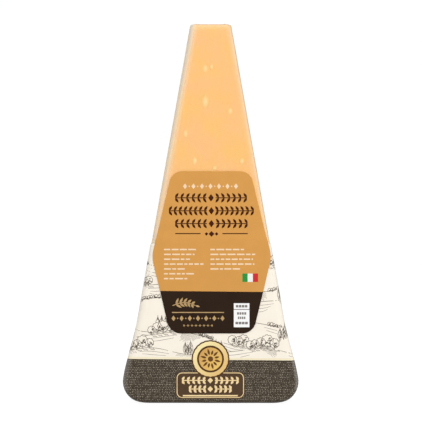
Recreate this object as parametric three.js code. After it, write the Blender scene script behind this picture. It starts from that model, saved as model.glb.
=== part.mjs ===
// A retail wedge of hard cheese, standing on its broad end: the cheese is sealed tight in clear
// film, a printed wrap goes round its lower part and under it, and a label is stuck on its front.
// Millimetres, +Z up. The origin is the middle of the base, and the labelled front faces -Y.

import * as THREE from 'three';

// ---- driving dimensions, mm (the envelope is the wrap's outer face) ----
const HEIGHT = 158;          // base to the narrow cut end
const THICKNESS = 26;        // front face to back face
const TOP_WIDTH = 17.6;      // the envelope at the narrow end, before its corners are rounded
const TAPER = 0.1777;        // each side leans in by this much for 1 mm of height
const FLARE = 1.5;           // how far each side swells at the foot
const FLARE_TOP = 34;        // height where the swelling starts
const FLARE_FULL = 12;       // height where it is complete
const FOOT_CORNER = 9;       // radius of the two lower corners, seen from the front
const EDGE_RADIUS = 3;       // radius of every long edge, and of the foot's front and back edges
const TOP_CORNER = 0.8;      // radius of the two upper corners, seen from the front
const TOP_EDGE = 3;          // radius of the top's front and back edges

const WRAP_HEIGHT = 66.5;    // base to the wrap's upper edge
const WRAP_WALL = 0.27;
const LAYER_GAP = 0.08;      // between one layer and the next

const LABEL_THICKNESS = 0.2;
const LABEL_BOTTOM = 29.2;
const LABEL_WAIST = 61;      // height where the label is widest
const LABEL_TOP = 96.6;
const LABEL_LEFT = { bottom: -16.9, waist: -24.4, top: -16.0 };   // x of its sharp corners
const LABEL_RIGHT = { bottom: 17.6, waist: 25.2, top: 16.4 };
const LABEL_CORNERS = { bottom: 5.8, waist: 14, top: 5.4 };       // their radii
const LABEL_STEP = 1.6;      // the label comes down off the wrap's edge over this height

// ---- how finely the curves are cut ----
const CORNER_CUTS = 6;
const FOOT_CUTS = 8;
const FLARE_CUTS = 7;
const LABEL_CUTS = 4;        // across the label: as many for each side and for the middle
const LABEL_SIDE = 1;        // the least width of a side
const LABEL_ROW_STEP = 4;    // longest stretch between two rows of the label
const LABEL_ROW_GAP = 0.4;   // marks closer than this share a row

const SKIN = WRAP_WALL + LAYER_GAP;          // from the envelope in to the film on the cheese
const LEAN = Math.atan(TAPER);
const ROUNDING = 1e-6;

const smoothstep = THREE.MathUtils.smoothstep;
const steps = (count) => Array.from({ length: count + 1 }, (_, i) => i / count);

// ---- the envelope: half its width and half its depth at a height, moved in by inset ----

function leaningSide(z) {
  const swelling = FLARE * (1 - smoothstep(z, FLARE_FULL, FLARE_TOP));
  return TOP_WIDTH / 2 + TAPER * (HEIGHT - z) + swelling;
}

// What a rounded end takes off a half-width, at a height above the start of the rounding.
function roundedOff(above, radius) {
  if (above <= 0) return 0;
  return radius - Math.sqrt(Math.max(0, radius * radius - above * above));
}

// The foot's corner is an arc that runs smoothly into the leaning side.
const footJoin = (inset) => FOOT_CORNER + (FOOT_CORNER - inset) * Math.sin(LEAN);
const footCentre = leaningSide(footJoin(0)) - FOOT_CORNER * Math.cos(LEAN);

function halfWidth(z, inset) {
  if (z < footJoin(inset)) {
    const radius = FOOT_CORNER - inset;
    return footCentre + Math.sqrt(Math.max(0, radius * radius - (FOOT_CORNER - z) ** 2));
  }
  return leaningSide(z) - inset / Math.cos(LEAN) - roundedOff(z - (HEIGHT - TOP_CORNER), TOP_CORNER);
}

function halfDepth(z, inset) {
  const radius = EDGE_RADIUS - inset;
  const foot = roundedOff(EDGE_RADIUS - z, radius);
  return THICKNESS / 2 - inset - foot - roundedOff(z - (HEIGHT - TOP_EDGE), TOP_EDGE);
}

// The front face's y at x: flat in the middle and turning back round the long edges.
function frontFace(x, z, inset) {
  const radius = EDGE_RADIUS - inset;
  const pastFlat = Math.max(0, Math.abs(x) - (halfWidth(z, inset) - radius));
  return roundedOff(pastFlat, radius) - halfDepth(z, inset);
}

// ---- meshes: a skin over rings of equal length, each ring a list of Vector3 ----

// One level section of the envelope, as a rounded rectangle that starts and ends at +X.
function section(z, inset) {
  const radius = EDGE_RADIUS - inset;
  const x = halfWidth(z, inset) - radius;
  const y = halfDepth(z, inset) - radius;
  const corners = [[x, y], [-x, y], [-x, -y], [x, -y]];
  return corners.flatMap(([cx, cy], quarter) =>
    steps(CORNER_CUTS).map((t) => {
      const angle = (quarter + t) * Math.PI / 2;
      return new THREE.Vector3(cx + radius * Math.cos(angle), cy + radius * Math.sin(angle), z);
    }));
}

// The two ends are closed by strips between each ring's first half and its second half.
function skinOver(rings) {
  const count = rings[0].length;
  const triangles = [];
  const quad = (a, b, c, d) => triangles.push(a, b, c, a, c, d);
  for (let ring = 0; ring + 1 < rings.length; ring++) {
    const low = ring * count;
    const high = low + count;
    for (let i = 0; i < count; i++) {
      const next = (i + 1) % count;
      quad(low + i, low + next, high + next, high + i);
    }
  }
  const last = (rings.length - 1) * count;
  for (let i = 0; i + 1 < count / 2; i++) {
    const across = count - 1 - i;
    quad(i, across, across - 1, i + 1);
    quad(last + i, last + i + 1, last + across - 1, last + across);
  }
  const geometry = new THREE.BufferGeometry().setFromPoints(rings.flat());
  geometry.setIndex(triangles);
  geometry.computeVertexNormals();
  return geometry;
}

// Heights of the sections from the lowest point of a layer to the end of the foot's arc.
function footHeights(inset) {
  const radius = FOOT_CORNER - inset;
  return steps(FOOT_CUTS).map((t) => FOOT_CORNER - radius * Math.cos(t * (Math.PI / 2 + LEAN)));
}

const flareHeights = steps(FLARE_CUTS).map((t) => THREE.MathUtils.lerp(FLARE_FULL, FLARE_TOP, t));

// ---- the pieces ----

function cheeseWedge() {
  const topHeights = steps(CORNER_CUTS).map((t) => HEIGHT - TOP_EDGE + TOP_EDGE * Math.sin(t * Math.PI / 2));
  const heights = [...footHeights(SKIN), ...flareHeights, ...topHeights];
  return skinOver(heights.map((z) => section(z, SKIN)));
}

// A cup: up the outside, over the rim and down the inside.
function printedWrap() {
  const wallUpTo = (inset) => [...footHeights(inset), ...flareHeights, WRAP_HEIGHT]
    .map((z) => section(z, inset));
  return skinOver([...wallUpTo(0), ...wallUpTo(WRAP_WALL).reverse()]);
}

// One side of the label as points from its bottom to its top, with its three corners rounded.
function labelSide(corners) {
  const inwards = -Math.sign(corners.waist);
  const sharp = [
    new THREE.Vector2(corners.bottom + inwards * LABEL_CORNERS.bottom, LABEL_BOTTOM),
    new THREE.Vector2(corners.bottom, LABEL_BOTTOM),
    new THREE.Vector2(corners.waist, LABEL_WAIST),
    new THREE.Vector2(corners.top, LABEL_TOP),
    new THREE.Vector2(corners.top + inwards * LABEL_CORNERS.top, LABEL_TOP),
  ];
  const radii = [LABEL_CORNERS.bottom, LABEL_CORNERS.waist, LABEL_CORNERS.top];
  return radii.flatMap((radius, i) => {
    const corner = sharp[i + 1];
    const before = sharp[i].clone().sub(corner).normalize();
    const after = sharp[i + 2].clone().sub(corner).normalize();
    const halfAngle = Math.acos(before.dot(after)) / 2;
    const middle = before.clone().add(after).normalize();
    const centre = corner.clone().addScaledVector(middle, radius / Math.sin(halfAngle));
    const start = corner.clone().addScaledVector(before, radius / Math.tan(halfAngle)).sub(centre);
    const turn = (Math.PI - 2 * halfAngle) * Math.sign(before.cross(after)) * -1;
    return steps(CORNER_CUTS).map((t) => start.clone().rotateAround(new THREE.Vector2(), t * turn).add(centre));
  });
}

// The x of a side of the label at a height.
function edgeAt(side, z) {
  const above = Math.max(1, side.findIndex((point) => point.y >= z - ROUNDING));
  const [low, high] = [side[above - 1], side[above]];
  return THREE.MathUtils.mapLinear(z, low.y, high.y, low.x, high.x);
}

// The x of the label's columns at a height, close together where it turns round the long edges.
function labelColumns(leftEdge, rightEdge, z) {
  const flat = halfWidth(z, 0) - EDGE_RADIUS;
  const leftBend = Math.max(-flat, leftEdge + LABEL_SIDE);
  const rightBend = Math.min(flat, rightEdge - LABEL_SIDE);
  const stretches = [[leftEdge, leftBend], [leftBend, rightBend], [rightBend, rightEdge]];
  const columns = stretches.flatMap(([from, to]) =>
    steps(LABEL_CUTS).slice(1).map((t) => THREE.MathUtils.lerp(from, to, t)));
  return [leftEdge, ...columns];
}

// The label lies on the wrap, comes down over its upper edge and goes on up on the film.
function frontLabel() {
  const left = labelSide(LABEL_LEFT);
  const right = labelSide(LABEL_RIGHT);
  const stepStart = WRAP_HEIGHT + WRAP_WALL;
  const marks = [...left, ...right].map((point) => point.y);
  marks.push(stepStart, stepStart + LABEL_STEP / 2, stepStart + LABEL_STEP);
  marks.sort((a, b) => a - b);
  const heights = [marks[0]];
  for (const mark of marks) {
    const from = heights.at(-1);
    if (mark - from < LABEL_ROW_GAP && mark < LABEL_TOP) continue;
    const parts = Math.ceil((mark - from) / LABEL_ROW_STEP);
    heights.push(...steps(parts).slice(1).map((t) => from + t * (mark - from)));
  }
  const rings = heights.map((z) => {
    const rest = SKIN * smoothstep(z, stepStart, stepStart + LABEL_STEP) - LAYER_GAP;
    const columns = labelColumns(edgeAt(left, z), edgeAt(right, z), z);
    const face = (inset) => columns.map((x) => new THREE.Vector3(x, frontFace(x, z, inset), z));
    return [...face(rest).reverse(), ...face(rest - LABEL_THICKNESS)];
  });
  return skinOver(rings);
}

function piece(name, geometry, color, roughness) {
  const material = new THREE.MeshStandardMaterial({ color, roughness, metalness: 0 });
  const mesh = new THREE.Mesh(geometry, material);
  mesh.name = name;
  return mesh;
}

const pack = new THREE.Group();
pack.name = 'cheese_wedge_pack';
pack.add(
  piece('cheese_wedge', cheeseWedge(), 0xfec682, 0.35),
  piece('printed_wrap', printedWrap(), 0xfaf1e1, 0.5),
  piece('front_label', frontLabel(), 0xdb9e56, 0.55),
);

export default pack;
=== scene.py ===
"""The looks of a film-packed wedge of hard cheese, fitted round its CAD frame.

Lengths are millimetres until a mesh is made. The pack stands on z = 0 and its labelled front
faces -Y. A place on its skin is (s, z): s is the way round a level section from the middle of the
front, positive to the right, and z is the height. A lift is how far a point stands out from the
printed wrap's outer face, and an inset is how far in it lies.
"""
import random
from math import acos, atan, ceil, cos, dist, pi, sin, sqrt, tan

import bpy
import numpy as np
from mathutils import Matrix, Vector, noise


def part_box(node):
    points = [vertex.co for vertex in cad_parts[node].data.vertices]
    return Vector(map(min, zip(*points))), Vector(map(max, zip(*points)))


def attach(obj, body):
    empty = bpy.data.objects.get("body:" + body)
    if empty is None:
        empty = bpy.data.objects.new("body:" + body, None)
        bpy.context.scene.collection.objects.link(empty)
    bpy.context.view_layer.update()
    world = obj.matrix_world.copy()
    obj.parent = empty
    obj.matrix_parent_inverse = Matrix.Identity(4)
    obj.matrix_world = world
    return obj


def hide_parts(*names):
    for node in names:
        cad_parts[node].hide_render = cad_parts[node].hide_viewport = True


MM = 0.001

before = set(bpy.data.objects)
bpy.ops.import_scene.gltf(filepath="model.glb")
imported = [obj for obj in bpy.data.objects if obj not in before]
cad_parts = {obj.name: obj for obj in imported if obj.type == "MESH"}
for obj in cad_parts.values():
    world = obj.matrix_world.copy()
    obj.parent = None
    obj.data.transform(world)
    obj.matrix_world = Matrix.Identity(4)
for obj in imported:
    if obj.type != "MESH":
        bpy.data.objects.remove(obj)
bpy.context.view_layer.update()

(wedge_low, wedge_high), (wrap_low, wrap_high), (label_low, label_high) = (
    np.array(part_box(node)) / MM for node in ("cheese_wedge", "printed_wrap", "front_label"))

# ---- the pack's form, as the CAD model has it ----
HEIGHT = wedge_high[2]
THICKNESS = wrap_high[1] - wrap_low[1]
WRAP_HEIGHT = wrap_high[2]
SKIN = wedge_low[2]  # from the wrap's outer face in to the film on the cheese
LAYER_GAP = 0.08
WRAP_WALL = SKIN - LAYER_GAP
TOP_WIDTH = 17.6
TAPER = 0.1777
FLARE, FLARE_TOP, FLARE_FULL = 1.5, 34.0, 12.0
FOOT_CORNER = 9.0
EDGE_RADIUS = 3.0
TOP_CORNER, TOP_EDGE = 0.8, 3.0
LEAN = atan(TAPER)
QUARTER = EDGE_RADIUS * pi / 2  # the way round one long edge

LABEL_THICKNESS = wrap_low[1] - label_low[1] - LAYER_GAP
LABEL_BOTTOM, LABEL_WAIST, LABEL_TOP = label_low[2], 61.0, label_high[2]
LABEL_LEFT = (-16.9, -24.4, -16.0)  # x of its sharp corners, from the bottom up
LABEL_RIGHT = (17.6, 25.2, 16.4)
LABEL_CORNERS = (5.8, 14.0, 5.4)  # their radii
LABEL_EASE = 6.0  # the paper comes down off the wrap's edge over this height
STEP_START = WRAP_HEIGHT + WRAP_WALL

# ---- the unevenness of each surface: the height and length of its waves, and a seed ----
WRAP_WAVES = ((0.05, 16.0, 1), (0.025, 5.0, 2))
LABEL_WAVE = (0.03, 14.0, 3)
CHEESE_PITS, CHEESE_WAVE = (0.05, 1.6, 4), (0.04, 8.0, 5)
FOLD_WAVE, FILM_WAVE = (0.5, 9.0, 6), (0.03, 7.0, 7)
# The unevenness of the film's milky edge tint, which is creases and also painted highlight and painted
# shade
CREASE_AND_PAINTED_LIGHT_WAVE = (0.3, 24.0, 8)
SEED_SHIFT = np.array([7.3, 3.1, 5.7])  # from one seed's noise to the next one's

# ---- the photograph's framing ----
PHOTO_WIDTH = 422
PIXEL = 0.4155  # size of one photograph pixel on the front face
MIDDLE_PIXEL = 210.7  # the column of x = 0
BASE_PIXEL = 403.7  # the row of z = 0
LENS, SENSOR = 150.0, 36.0


def at_pixel(column, row):
    """The place on the front face that a photograph pixel shows."""
    return (column - MIDDLE_PIXEL) * PIXEL, (BASE_PIXEL - row) * PIXEL


def across(left, right, row):
    """The ends and the height of a level line between two columns."""
    (x0, z), (x1, _) = at_pixel(left, row), at_pixel(right, row)
    return x0, x1, z


def line_through(left, right):
    """The height at x = 0 and the slope of the line through two photograph pixels."""
    (x0, z0), (x1, z1) = at_pixel(*left), at_pixel(*right)
    slope = (z1 - z0) / (x1 - x0)
    return z0 - slope * x0, slope


# Two photograph pixels on the upper edge of the charcoal band, and of the label's dark field
BAND_EDGE = (136, 359.0), (287, 360.5)
DARK_EDGE = (161.3, 290.9), (262.5, 291.9)
BAND_TOP, BAND_SLOPE = line_through(*BAND_EDGE)
DARK_TOP, DARK_SLOPE = line_through(*DARK_EDGE)
LINE_HEIGHT = 0.9  # the pale line over the wrap's charcoal band


# ======== form ========

def smoothstep(value, low, high):
    t = np.clip((value - low) / (high - low), 0, 1)
    return t * t * (3 - 2 * t)


def rounded_off(above, radius):
    """What a rounded end takes off a half-width, at a height above its start."""
    above = np.maximum(above, 0)
    return radius - np.sqrt(np.maximum(radius * radius - above * above, 0))


def leaning_side(z):
    return TOP_WIDTH / 2 + TAPER * (HEIGHT - z) + FLARE * (1 - smoothstep(z, FLARE_FULL, FLARE_TOP))


def foot_join(inset):
    return FOOT_CORNER + (FOOT_CORNER - inset) * sin(LEAN)


FOOT_CENTRE = leaning_side(foot_join(0)) - FOOT_CORNER * cos(LEAN)


def half_width(z, inset):
    radius = FOOT_CORNER - inset
    arc = FOOT_CENTRE + np.sqrt(np.maximum(radius ** 2 - (FOOT_CORNER - z) ** 2, 0))
    top = rounded_off(z - (HEIGHT - TOP_CORNER), TOP_CORNER)
    return np.where(z < foot_join(inset), arc, leaning_side(z) - inset / cos(LEAN) - top)


def half_depth(z, inset):
    foot = rounded_off(EDGE_RADIUS - z, EDGE_RADIUS - inset)
    return THICKNESS / 2 - inset - foot - rounded_off(z - (HEIGHT - TOP_EDGE), TOP_EDGE)


def flats(z, inset):
    """Half the flat width and half the flat depth of a level section."""
    radius = EDGE_RADIUS - inset
    return half_width(z, inset) - radius, half_depth(z, inset) - radius


def surface(s, z, lift=0.0):
    """The point at (s, z) with a lift."""
    s, z, lift = np.broadcast_arrays(np.asarray(s, float), z, lift)
    flat_x, flat_y = flats(z, -lift)
    radius = EDGE_RADIUS + lift
    side = flat_x + QUARTER + flat_y
    out = np.abs(s)
    on_front = out <= side
    t = np.where(on_front, out, 2 * side - out)
    angle = np.clip((t - flat_x) / EDGE_RADIUS, 0, pi / 2)
    x = np.minimum(t, flat_x) + radius * np.sin(angle)
    y = np.maximum(t - flat_x - QUARTER, 0) - flat_y - radius * np.cos(angle)
    return np.stack([np.where(s < 0, -x, x), np.where(on_front, y, -y), z], axis=-1)


def way_to_back(z):
    """The s of the middle of the back at height z."""
    return 2 * sum(flats(z, 0.0)) + 2 * QUARTER


def way_round(x, z):
    """The s of a point of the front that is seen at x."""
    flat_x, _ = flats(z, 0.0)
    past = np.clip((np.abs(x) - flat_x) / EDGE_RADIUS, 0, 1)
    return np.copysign(np.minimum(np.abs(x), flat_x) + EDGE_RADIUS * np.arcsin(past), x)


def ripples(points, height, length, seed):
    """Smooth noise at points, up to a height and with waves of about a length."""
    flat = points.reshape(-1, 3) / length + seed * SEED_SHIFT
    return height * np.array([noise.noise(p) for p in flat]).reshape(points.shape[:-1])


def on_wrap(s, z, lift):
    """A point on the printed wrap, which isn't quite flat."""
    return surface(s, z, lift + sum(ripples(surface(s, z), *wave) for wave in WRAP_WAVES))


def on_label(x, z, lift):
    """A point on the label's outer face, for a place of the front that is seen at x."""
    rest = LAYER_GAP - SKIN * smoothstep(z, STEP_START, STEP_START + LABEL_EASE)
    s = way_round(x, z)
    return surface(s, z, rest + LABEL_THICKNESS + lift + ripples(surface(s, z), *LABEL_WAVE))


def tilted(z, x, level, slope, reach=9.0):
    """Heights that follow a tilted line near its level and are level away from it."""
    return z + slope * x * (1 - smoothstep(np.abs(z - level), 0.5, reach))


def rounded(path, radii, cuts):
    """A path's inner corners as arcs of the given radii, each in as many cuts."""
    arcs = []
    for before, corner, after, radius in zip(path, path[1:], path[2:], radii):
        ways = [np.subtract(end, corner) / dist(end, corner) for end in (before, after)]
        half_angle = acos(ways[0] @ ways[1]) / 2
        middle = sum(ways) / np.linalg.norm(sum(ways))
        centre = corner + middle * radius / sin(half_angle)
        start, end = (corner + way * radius / tan(half_angle) - centre for way in ways)
        full = pi - 2 * half_angle
        turn = np.linspace(0, full, cuts + 1)[:, None]
        arcs.append(centre + (np.sin(full - turn) * start + np.sin(turn) * end) / sin(full))
    return np.concatenate(arcs)


# ======== meshes ========

def grid(rows, columns, shut=False):
    """Faces between rows of points. shut also joins each row's last point to its first."""
    faces = []
    for low in range(0, (rows - 1) * columns, columns):
        for i in range(columns if shut else columns - 1):
            after = (i + 1) % columns
            faces.append((low + i, low + after, low + columns + after, low + columns + i))
    return faces


def new_object(name, points, faces, materials, rows=None, smooth=True):
    """An object from points in mm. rows holds each face's material number."""
    mesh = bpy.data.meshes.new(name)
    mesh.from_pydata((np.asarray(points) * MM).tolist(), [], faces)
    for material in materials:
        mesh.materials.append(material)
    if rows is not None:
        mesh.polygons.foreach_set("material_index", np.asarray(rows, np.int32))
    mesh.polygons.foreach_set("use_smooth", [smooth] * len(faces))
    mesh.update()
    made = bpy.data.objects.new(name, mesh)
    bpy.context.scene.collection.objects.link(made)
    return made


def settle(piece, slot, *nodes):
    """Hangs a piece on the pack's one body, and hides the nodes it stands for. slot is not used."""
    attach(piece, "root")
    if nodes:
        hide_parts(*nodes)


def ring_stations(z, inset, cuts):
    """A row of s for each height z, from the middle of the right side round by the back, and the
    heights as a column. cuts are the cells in half a flat front, an edge and half a side."""
    front_cuts, edge_cuts, side_cuts = cuts
    z = z[:, None]
    flat_x, flat_y = flats(z, inset)
    t = np.concatenate([
        flat_x * np.arange(front_cuts) / front_cuts,
        flat_x + QUARTER * np.arange(edge_cuts) / edge_cuts,
        flat_x + QUARTER + flat_y * np.arange(side_cuts) / (side_cuts - 0.5),
    ], axis=1)
    back = 2 * (flat_x + QUARTER + flat_y) - t
    return np.concatenate([back[:, ::-1], -back[:, 1:], -t[:, ::-1], t[:, 1:]], axis=1), z


def skin_over(rings, cap_cuts=(1, 1)):
    """Points and faces of a skin over rings [ring, column, xyz], closed at each end by strips cut
    into cap_cuts pieces. Also gives each face's ring, or -1 on an end."""
    ring_count, columns, _ = rings.shape
    points, faces = [rings.reshape(-1, 3)], grid(ring_count, columns, shut=True)
    rows = np.repeat(np.arange(ring_count - 1), columns)
    total, half = ring_count * columns, columns // 2
    for start, cuts, upper in ((0, cap_cuts[0], False), (total - columns, cap_cuts[1], True)):
        far = start + np.arange(half)
        near = start + columns - 1 - np.arange(half)
        strips = [far[1:-1]]
        for share in np.arange(1, cuts) / cuts:
            points.append(points[0][far[1:-1]] * (1 - share) + points[0][near[1:-1]] * share)
            strips.append(total + np.arange(half - 2))
            total += half - 2
        strips = np.stack([*strips, near[1:-1]])
        end = strips.ravel()[np.array(grid(cuts + 1, half - 2))].tolist()
        end += [(far[0], *strips[:, 0], near[0]), (far[-1], near[-1], *strips[::-1, -1])]
        faces += [face if upper else face[::-1] for face in end]
    rows = np.append(rows, np.full(len(faces) - len(rows), -1))
    return np.concatenate(points), [tuple(map(int, face)) for face in faces], rows


# ======== materials ========
FRONT_LIGHT = 1.17  # how bright the lamps make a matt white front


def srgb(tone, light=1.0):
    """A colour as the shader wants it, from its 0 to 255 values on screen under a light."""
    shares = [value / 255 for value in tone]
    return (*((c / 12.92 if c <= 0.04045 else ((c + 0.055) / 1.055) ** 2.4) / light
              for c in shares), 1.0)


WHITE = (1, 1, 1, 1)
CHEESE_GOLD = srgb((236, 184, 105))
CHEESE_ROSY = srgb((236, 181, 120))
CHEESE_PALE = srgb((240, 200, 146))
CRYSTAL_PALE, CRYSTAL_DEEP = srgb((249, 213, 157)), srgb((246, 206, 144))
# The film's milk colour; along the rounded edges it also paints a highlight
FILM_MILK_AND_PAINTED_HIGHLIGHT = srgb((248, 244, 215))
PAINTED_SHADE_MILK = srgb((228, 231, 219))  # greyer milk where it is creased most: painted shade on the rounded edges
FILM_TINT = (0.995, 0.995, 0.99, 1)
FILM_SHINE = 0.03  # what it mirrors seen head on
GOLD_REACH = 9.0  # how far from the seal's middle its gold's tones go on changing

# How deep the grain of each surface is, in mm
CHEESE_RELIEF, CRYSTAL_RELIEF, FILM_RELIEF, INK_RELIEF, GOLD_RELIEF = 0.05, 0.03, 0.04, 0.012, 0.01

# Each print's two tones as they show on screen, its roughness and its shine
PRINTS = {
    "band_charcoal": ((62, 51, 36), (67, 56, 40), 0.26, 0.7),
    "band_line": ((247, 235, 204), (243, 231, 198), 0.4, 0.35),
    "wrap_cream": ((250, 242, 227), (247, 238, 223), 0.4, 0.2),
    "wrap_seam_charcoal": ((62, 51, 36), (67, 56, 40), 0.3, 0.35),
    "wrap_seam_line": ((247, 235, 204), (243, 231, 198), 0.4, 0.35),
    "wrap_seam_cream": ((248, 238, 220), (244, 234, 216), 0.34, 0.35),
    "wrap_engraving": ((94, 84, 70), (116, 105, 90), 0.4, 0.35),
    "band_dots": ((196, 183, 164), (160, 148, 130), 0.36, 0.35),
    "label_orange": ((215, 155, 78), (211, 152, 76), 0.5, 0.2),
    "label_dark": ((44, 30, 20), (48, 33, 22), 0.5, 0.1),
    "label_frieze": ((64, 24, 4), (72, 30, 8), 0.45, 0.15),
    "label_bars": ((246, 217, 182), (242, 211, 174), 0.5, 0.35),
    "label_gold": ((192, 158, 106), (182, 148, 98), 0.35, 0.35),
    "flag_green": ((38, 152, 62), (32, 146, 56), 0.45, 0.35),
    "flag_pale": ((240, 242, 236), (234, 236, 230), 0.45, 0.35),
    "flag_red": ((208, 36, 42), (202, 30, 36), 0.45, 0.35),
    "info_box": ((250, 250, 248), (246, 246, 244), 0.5, 0.35),
    "info_bars": ((120, 114, 110), (128, 122, 118), 0.5, 0.35),
    "plaque": ((86, 62, 40), (80, 57, 36), 0.34, 0.35),
    "plaque_gold": ((250, 224, 172), (240, 208, 150), 0.3, 0.35),
    "seal_brown": ((92, 56, 18), (82, 50, 16), 0.36, 0.35),
    "seal_border": ((250, 232, 172), (232, 194, 122), 0.31, 0.4),
    "seal_face": ((206, 156, 84), (240, 200, 108), 0.31, 0.4),
    "seal_rays": ((110, 70, 22), (98, 62, 20), 0.34, 0.35),
}


def feed(socket, value):
    """Gives a node's input a value, or joins another node's output to it."""
    if isinstance(value, bpy.types.NodeSocket):
        socket.id_data.links.new(value, socket)
    else:
        socket.default_value = value


def add_node(tree, kind, inputs=None, **settings):
    """A node with its settings and its inputs, each a value or another node's output."""
    made = tree.nodes.new("ShaderNode" + kind)
    for key, value in settings.items():
        setattr(made, key, value)
    for key, value in (inputs or {}).items():
        feed(made.inputs[key], value)
    return made


class Finish:
    """A node material that is built up one node at a time."""

    def __init__(self, name):
        self.material = bpy.data.materials.new(name)
        self.material.use_nodes = True
        self.tree = self.material.node_tree
        self.shader = self.tree.nodes["Principled BSDF"]
        self.place = self.add("TexCoord").outputs["Object"]

    def add(self, *wanted, **settings):
        return add_node(self.tree, *wanted, **settings)

    def speckle(self, size, detail=2.0, roughness=0.5, stretch=(1, 1, 1)):
        """Noise from 0 to 1 with lumps of a size in mm, longer where stretch is under 1."""
        moved = self.add("Mapping", {"Vector": self.place, "Scale": stretch})
        return self.add("TexNoise", {"Vector": moved.outputs[0], "Scale": 1 / (size * MM),
                                     "Detail": detail, "Roughness": roughness}).outputs["Fac"]

    def between(self, value, low=0, high=1, from_low=0.3, from_high=0.7):
        return self.add("MapRange", {"Value": value, "From Min": from_low, "From Max": from_high,
                                     "To Min": low, "To Max": high}).outputs[0]

    def blend(self, factor, first, second):
        return self.add("Mix", {0: factor, 6: first, 7: second}, data_type="RGBA").outputs[2]

    def sum_of(self, first, second, share):
        """first plus share of second."""
        return self.add("Math", {0: second, 1: share, 2: first}, operation="MULTIPLY_ADD").outputs[0]

    def bumpy(self, height, depth):
        """Relief of a depth in mm for a height from 0 to 1."""
        return self.add("Bump", {"Height": height, "Distance": depth * MM}).outputs[0]

    def set(self, **values):
        for key, value in values.items():
            feed(self.shader.inputs[key.replace("_", " ")], value)
        return self.material


def cheese_finish():
    """Dense, pale golden paste with a fine grain and faint paler and deeper patches."""
    made = Finish("cheese_paste")
    patches, grain = made.speckle(9.0, 3.0), made.speckle(0.9, 3.0, 0.65)
    flecks = made.add("TexVoronoi", {"Vector": made.place, "Scale": 1 / (2.3 * MM)})
    colour = made.blend(made.between(patches), CHEESE_ROSY, CHEESE_GOLD)
    colour = made.blend(made.between(grain, 0, 0.3, 0.45, 0.75), colour, CHEESE_PALE)
    near_fleck = made.between(flecks.outputs["Distance"], 0.35, 0, 0.0, 0.14)
    return made.set(Base_Color=made.blend(near_fleck, colour, CHEESE_PALE),
                    Roughness=made.between(grain, 0.5, 0.62), Specular_IOR_Level=0.15,
                    Subsurface_Weight=0.1, Subsurface_Radius=(1.0, 0.6, 0.3), Subsurface_Scale=MM,
                    Normal=made.bumpy(made.sum_of(grain, patches, 0.5), CHEESE_RELIEF))


def crystal_finish():
    """The pale, chalky crystals of a well aged cheese, which fade into the paste at their rims."""
    made = Finish("crystal")
    grain = made.speckle(0.5)
    depth = made.add("Attribute", attribute_name="depth").outputs["Fac"]
    colour = made.blend(made.between(grain), CRYSTAL_PALE, CRYSTAL_DEEP)
    return made.set(Base_Color=made.blend(made.between(depth, 0, 1, 0.3, 1.0), CHEESE_GOLD, colour),
                    Roughness=0.5, Subsurface_Weight=0.1, Subsurface_Scale=0.8 * MM,
                    Normal=made.bumpy(grain, CRYSTAL_RELIEF))


def film_finish(name, haze, added_haze_for_creases_and_painted_light=0.0):
    """Clear film, which shines more the more it is seen aslant. It is milky by haze, and by the extra
    haze more where the mesh's value for creases is 1: there the milk is partly creased film and partly
    painted highlight and painted shade."""
    made = Finish(name)
    relief = made.bumpy(made.speckle(3.0, 3.0, 0.6, (1, 1, 0.35)), FILM_RELIEF)
    clear = made.add("BsdfTransparent", {"Color": FILM_TINT})
    crease_and_painted_light = made.add("Attribute", attribute_name="crease_and_painted_light").outputs["Fac"]
    milk_and_painted_light = made.between(crease_and_painted_light, haze, haze + added_haze_for_creases_and_painted_light, 0, 1)
    # Greyer where the value is highest: painted shade on the rounded edges
    tint = made.blend(made.between(crease_and_painted_light, 0, 1, 0.75, 1.0), FILM_MILK_AND_PAINTED_HIGHLIGHT, PAINTED_SHADE_MILK)
    made.set(Base_Color=tint, Roughness=0.35, Specular_IOR_Level=0.0)
    cloudy_and_painted_light = made.add("MixShader", {0: milk_and_painted_light, 1: clear.outputs[0], 2: made.shader.outputs[0]})
    shine = made.add("BsdfAnisotropic", {"Color": WHITE, "Roughness": 0.18, "Normal": relief})
    # The same from both sides, as a thin film's is. The Fresnel node takes the far side for glass.
    aslant = made.add("LayerWeight", {"Blend": 0.5, "Normal": relief}).outputs["Facing"]
    power = made.add("Math", {0: aslant, 1: 5.0}, operation="POWER").outputs[0]
    share = made.add("Math", {0: power, 1: 1 - FILM_SHINE, 2: FILM_SHINE}, operation="MULTIPLY_ADD")
    mix = made.add("MixShader", {0: share.outputs[0], 1: cloudy_and_painted_light.outputs[0], 2: shine.outputs[0]})
    feed(made.tree.nodes["Material Output"].inputs["Surface"], mix.outputs[0])
    return made.material


def inked(made, name, share, grain, height, relief):
    """Ends a print's finish. share runs from 0 at its first tone to 1 at its second."""
    first, second, roughness, shine = PRINTS[name]
    tone = made.blend(share, srgb(first, FRONT_LIGHT), srgb(second, FRONT_LIGHT))
    return made.set(Base_Color=tone, Roughness=made.between(grain, roughness - 0.05, roughness + 0.05),
                    Normal=made.bumpy(height, relief), Specular_IOR_Level=shine)


def print_finish(name, patch=6.0):
    """A field of ink on film or paper, a little uneven in colour, gloss and height."""
    made = Finish(name)
    patches, grain = made.speckle(patch, 3.0), made.speckle(0.35)
    height = made.sum_of(grain, patches, 1.5)
    return inked(made, name, made.between(patches), grain, height, INK_RELIEF)


def gold_finish(name):
    """Gold ink that runs from its first tone at its upper left to its second at its lower right."""
    made = Finish(name)
    parts, grain = made.add("SeparateXYZ", {0: made.place}).outputs, made.speckle(0.5)
    x, z = at_pixel(*SEAL_MIDDLE)
    share = made.between(made.sum_of(parts["X"], parts["Z"], -1.0), 0, 1,
                         (x - z - GOLD_REACH) * MM, (x - z + GOLD_REACH) * MM)
    return inked(made, name, share, grain, grain, GOLD_RELIEF)


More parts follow.
